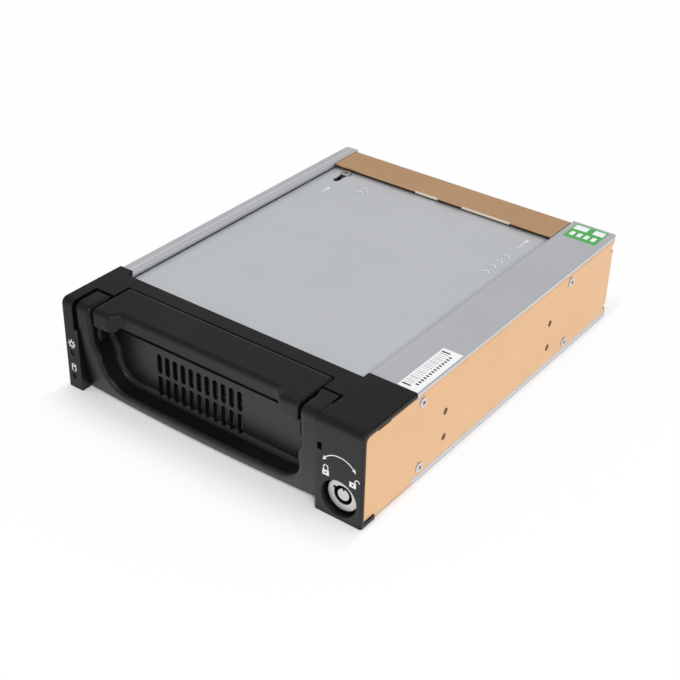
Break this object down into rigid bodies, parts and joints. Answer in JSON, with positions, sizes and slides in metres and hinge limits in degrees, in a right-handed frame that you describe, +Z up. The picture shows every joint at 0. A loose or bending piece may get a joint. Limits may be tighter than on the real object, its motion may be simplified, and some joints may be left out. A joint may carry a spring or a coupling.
{
  "type": "hot swap drive cage",
  "caption": "Lockable bay frame with a sliding drive tray: fold-out handle, slotted front, key lock, sliding lid, docking connector and rear fan.",
  "frame": {"origin": "middle of the cage's outline, on the plane it rests on", "axes": "+X to the right seen from the front, +Y to the rear, +Z up"},
  "size_m": [0.147, 0.1886, 0.0413],
  "materials": {
    "gold_sheet": "satin gold",
    "rail_aluminium": "satin anodised",
    "black_plastic": "fine moulded grain",
    "tray_sheet": "matt",
    "screw_steel": "zinc plated",
    "lock_chrome": "bright",
    "lens_plastic": "smoked",
    "board_laminate": "solder mask",
    "connector_plastic": "moulded",
    "power_plastic": "moulded",
    "spacer_brass": "turned"
  },
  "bodies": {
    "frame": {"chassis_shell": "gold_sheet", "left_rail": "rail_aluminium", "right_rail": "rail_aluminium", "front_bezel": "black_plastic", "rail_screws": "screw_steel", "led_lenses": "lens_plastic", "led_board": "board_laminate", "lock_body": "lock_chrome", "lock_nut": "lock_chrome", "backplane_board": "board_laminate", "board_standoffs": "spacer_brass", "board_screws": "screw_steel", "dock_socket": "connector_plastic", "data_port": "connector_plastic", "power_socket": "power_plastic", "fan_housing": "black_plastic", "fan_screws": "screw_steel"},
    "tray": {"tray_pan": "tray_sheet", "tray_front": "black_plastic", "handle_pins": "screw_steel", "tray_screws": "screw_steel", "tray_board": "board_laminate", "drive_socket": "connector_plastic", "dock_plug": "connector_plastic", "lock_catch": "screw_steel", "cover_post": "screw_steel", "cover_screw": "screw_steel"},
    "handle": {"handle": "black_plastic"},
    "cover": {"tray_cover": "tray_sheet"},
    "lock": {"lock_plug": "lock_chrome", "lock_cam": "screw_steel", "cam_screw": "screw_steel"},
    "rotor": {"fan_rotor": "black_plastic"}
  },
  "joints": [
    {"name": "tray_slide", "type": "slide", "parent": "frame", "child": "tray", "axis": [0, -1, 0], "range_m": [0, 0.18]},
    {"name": "handle_hinge", "type": "hinge", "parent": "tray", "child": "handle", "pos_m": [0, -0.08905, 0.028], "axis": [1, 0, 0], "range_deg": [0, 90]},
    {"name": "cover_slide", "type": "slide", "parent": "tray", "child": "cover", "axis": [0, 1, 0], "range_m": [0, 0.008]},
    {"name": "lock_turn", "type": "hinge", "parent": "frame", "child": "lock", "pos_m": [0.0634, -0.08425, 0.0093], "axis": [0, -1, 0], "range_deg": [0, 90]},
    {"name": "fan_spin", "type": "hinge", "parent": "frame", "child": "rotor", "pos_m": [0.0246, 0.08675, 0.0192], "axis": [0, 1, 0], "continuous": true}
  ]
}
